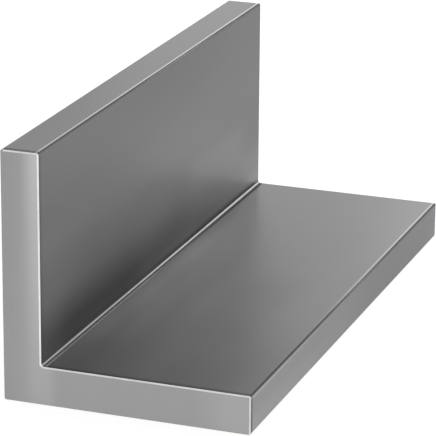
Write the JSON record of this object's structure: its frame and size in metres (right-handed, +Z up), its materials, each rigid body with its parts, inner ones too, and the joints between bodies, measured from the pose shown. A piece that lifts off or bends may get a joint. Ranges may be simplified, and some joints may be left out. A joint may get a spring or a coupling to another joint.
{
  "type": "metal angle section",
  "caption": "L-shaped length of solid metal angle with two equal legs at a right angle, a sharp inside corner and squarely sawn ends.",
  "frame": {"origin": "ground level, in the middle of the footprint: halfway along the length and halfway from heel to toe of the base leg", "axes": "+Y along the length of the stock, +X from the heel to the toe of the base leg, +Z up the upright leg, which stands at the -X side"},
  "size_m": [0.04, 0.1, 0.04],
  "materials": {
    "drawn_metal": "satin"
  },
  "bodies": {
    "root": {"angle_section": "drawn_metal"}
  },
  "joints": []
}
